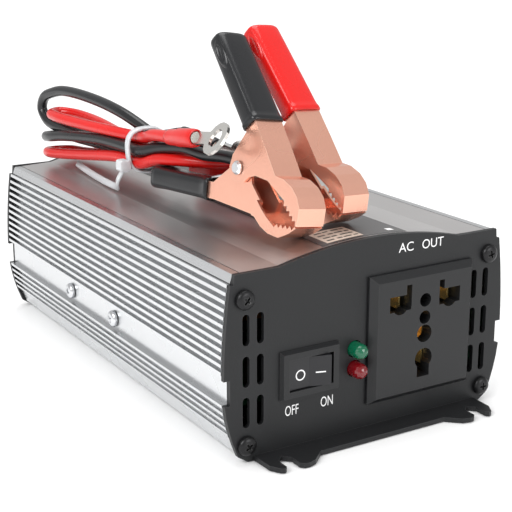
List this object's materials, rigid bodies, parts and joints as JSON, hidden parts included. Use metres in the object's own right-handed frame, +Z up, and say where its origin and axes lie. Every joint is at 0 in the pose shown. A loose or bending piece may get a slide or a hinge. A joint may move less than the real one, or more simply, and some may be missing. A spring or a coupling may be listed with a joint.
{
  "type": "power inverter",
  "caption": "Compact DC to AC power inverter in a finned aluminium case, with a universal outlet, rocker switch, indicator lamps, binding posts and a tied pair of battery clamp leads.",
  "frame": {"origin": "middle of the case's underside", "axes": "+X to the right when facing the outlet, +Y from the front panel to the rear panel, +Z up"},
  "size_m": [0.104, 0.2039, 0.1207],
  "materials": {
    "case_aluminium": "brushed, clear anodised",
    "panel_black": "satin black powder coat",
    "bright_steel": "bright zinc plated",
    "dark_screw": "black oxide",
    "black_plastic": "fine satin grain",
    "red_plastic": "smooth gloss",
    "brass_part": "turned brass",
    "green_lens": "tinted clear lens",
    "red_lens": "tinted clear lens",
    "board_green": "solder mask",
    "core_dark": "dull ferrite",
    "winding_copper": "varnished wire",
    "can_dark": "shrink sleeve",
    "copper_plate": "copper plated steel, satin",
    "tinned_plate": "tinned copper",
    "red_vinyl": "glossy soft vinyl",
    "black_vinyl": "glossy soft vinyl",
    "white_nylon": "translucent nylon"
  },
  "bodies": {
    "case": {"black_post_insulator": "black_plastic", "black_post_stud": "brass_part", "capacitor": "can_dark", "case_base": "case_aluminium", "circuit_board": "board_green", "earth_contact": "brass_part", "fan_frame": "black_plastic", "front_panel": "panel_black", "front_panel_screw_1": "dark_screw", "front_panel_screw_2": "dark_screw", "front_panel_screw_3": "dark_screw", "front_panel_screw_4": "dark_screw", "green_lamp": "green_lens", "left_side_screw_1": "bright_steel", "left_side_screw_2": "bright_steel", "left_transistor_bank": "bright_steel", "live_contact": "brass_part", "neutral_contact": "brass_part", "outlet_block": "black_plastic", "rear_panel": "panel_black", "rear_panel_screw_1": "dark_screw", "rear_panel_screw_2": "dark_screw", "rear_panel_screw_3": "dark_screw", "rear_panel_screw_4": "dark_screw", "red_lamp": "red_lens", "red_post_insulator": "red_plastic", "red_post_stud": "brass_part", "right_side_screw_1": "bright_steel", "right_side_screw_2": "bright_steel", "right_transistor_bank": "bright_steel", "switch_housing": "black_plastic", "top_cover": "case_aluminium", "transformer_core": "core_dark", "transformer_winding": "winding_copper"},
    "rocker": {"switch_rocker": "black_plastic"},
    "fan": {"fan_rotor": "black_plastic"},
    "red_knob": {"red_post_knob": "red_plastic"},
    "black_knob": {"black_post_knob": "black_plastic"},
    "leads": {"black_clamp_lead": "black_vinyl", "black_lower_grip": "black_vinyl", "black_lower_jaw": "copper_plate", "black_ring_lead": "black_vinyl", "black_ring_terminal": "tinned_plate", "black_rivet": "bright_steel", "black_spring": "bright_steel", "black_terminal_sleeve": "black_vinyl", "cable_tie": "white_nylon", "lead_hank": "red_vinyl", "red_clamp_lead": "red_vinyl", "red_lower_grip": "red_vinyl", "red_lower_jaw": "copper_plate", "red_ring_lead": "red_vinyl", "red_ring_terminal": "tinned_plate", "red_rivet": "bright_steel", "red_spring": "bright_steel", "red_terminal_sleeve": "red_vinyl"},
    "black_clamp_top": {"black_upper_jaw": "copper_plate", "black_upper_grip": "black_vinyl"},
    "red_clamp_top": {"red_upper_jaw": "copper_plate", "red_upper_grip": "red_vinyl"}
  },
  "joints": [
    {"name": "switch_tilt", "type": "hinge", "parent": "case", "child": "rocker", "pos_m": [-0.023, -0.084, 0.0244], "axis": [0, 0, 1], "range_deg": [0, 18]},
    {"name": "fan_spin", "type": "hinge", "parent": "case", "child": "fan", "pos_m": [-0.022, 0.08, 0.031], "axis": [0, 1, 0], "continuous": true},
    {"name": "red_knob_turn", "type": "hinge", "parent": "case", "child": "red_knob", "pos_m": [0.036, 0.095, 0.031], "axis": [0, 1, 0], "range_deg": [0, 1800]},
    {"name": "black_knob_turn", "type": "hinge", "parent": "case", "child": "black_knob", "pos_m": [0.013, 0.095, 0.031], "axis": [0, 1, 0], "range_deg": [0, 1800]},
    {"name": "leads_lift", "type": "slide", "parent": "case", "child": "leads", "axis": [0, 0, 1], "range_m": [0, 0.12]},
    {"name": "black_clamp_open", "type": "hinge", "parent": "leads", "child": "black_clamp_top", "pos_m": [-0.0214, -0.0514, 0.0789], "axis": [-0.9816, -0.1205, 0.1478], "range_deg": [0, 24], "stiffness_Nm_per_rad": 0.3, "springref_deg": -22.92},
    {"name": "red_clamp_open", "type": "hinge", "parent": "leads", "child": "red_clamp_top", "pos_m": [-0.004, -0.0473, 0.08], "axis": [-0.9846, -0.156, 0.0785], "range_deg": [0, 24], "stiffness_Nm_per_rad": 0.3, "springref_deg": -22.92}
  ]
}
